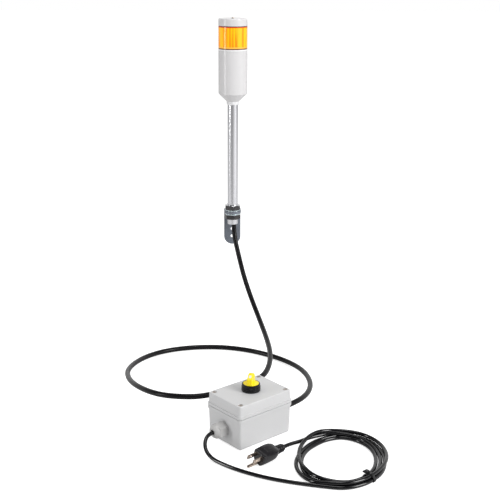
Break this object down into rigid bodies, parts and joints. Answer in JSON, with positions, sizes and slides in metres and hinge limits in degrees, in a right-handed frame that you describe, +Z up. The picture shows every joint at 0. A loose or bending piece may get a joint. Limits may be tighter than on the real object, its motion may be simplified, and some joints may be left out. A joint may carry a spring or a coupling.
{
  "type": "stack light",
  "caption": "Amber signal light on a tall pole and wall bracket, corded to a grey selector box with a mains lead, coiled and tied, and a grounded plug.",
  "frame": {"origin": "on the bracket's back face, midway between its two mounting holes; the box, cords and plug lie on a level surface below it", "axes": "+Z up along the pole, +Y out of the bracket's back into the wall, +X to the right as seen from the front"},
  "size_m": [0.4195, 0.6566, 0.6284],
  "materials": {
    "head_plastic": "glossy",
    "white_seal": "satin",
    "dark_seal": "satin",
    "amber_lens": "glossy, fluted",
    "board": "matte",
    "led": "glossy",
    "pole_metal": "satin, drawn",
    "collar_plastic": "satin",
    "nut_metal": "satin",
    "zinc": "zinc plated",
    "bracket_metal": "satin",
    "screw_metal": "satin",
    "box_plastic": "satin",
    "selector_black": "satin",
    "selector_yellow": "satin",
    "pointer_white": "matte",
    "gland_plastic": "satin",
    "cord_jacket": "satin",
    "plug_vinyl": "satin",
    "plug_metal": "polished",
    "tie_nylon": "satin",
    "contact_plastic": "matte",
    "brass_parts": "satin"
  },
  "bodies": {
    "fixed_parts": {"cap": "head_plastic", "cap_gasket": "dark_seal", "lens": "amber_lens", "lens_seal": "white_seal", "led_board": "board", "led_chips": "led", "tie_screw": "screw_metal", "body_housing": "head_plastic", "driver_board": "board", "base_cone": "head_plastic", "pole_collar": "collar_plastic", "pole": "pole_metal", "upper_nut": "nut_metal", "lower_nut": "nut_metal", "upper_flat_washer": "zinc", "lower_flat_washer": "zinc", "upper_tooth_washer": "zinc", "lower_tooth_washer": "zinc", "l_bracket": "bracket_metal", "pole_cord": "cord_jacket", "box_base": "box_plastic", "box_lid": "box_plastic", "lid_gasket": "dark_seal", "lid_screws": "screw_metal", "selector_bezel": "selector_black", "selector_seal": "dark_seal", "selector_ring_nut": "selector_black", "contact_block": "contact_plastic", "contact_screws": "brass_parts", "terminal_strip": "contact_plastic", "mains_gland_body": "gland_plastic", "mains_gland_nut": "gland_plastic", "mains_gland_seal": "dark_seal", "mains_gland_locknut": "gland_plastic", "mains_cord_inside": "cord_jacket", "light_gland_body": "gland_plastic", "light_gland_nut": "gland_plastic", "light_gland_seal": "dark_seal", "light_gland_locknut": "gland_plastic", "light_cord_inside": "cord_jacket", "light_cord": "cord_jacket", "mains_cord_lead": "cord_jacket", "mains_cord_coil": "cord_jacket", "mains_cord_tail": "cord_jacket", "cable_tie": "tie_nylon", "plug_body": "plug_vinyl", "plug_blades": "plug_metal", "plug_ground_pin": "plug_metal"},
    "knob": {"selector_knob": "selector_yellow", "knob_pointer": "pointer_white"}
  },
  "joints": [
    {"name": "selector_turn", "type": "hinge", "parent": "fixed_parts", "child": "knob", "pos_m": [0.01579, -0.46432, -0.1305], "axis": [0, 0, 1], "range_deg": [0, 90]}
  ]
}
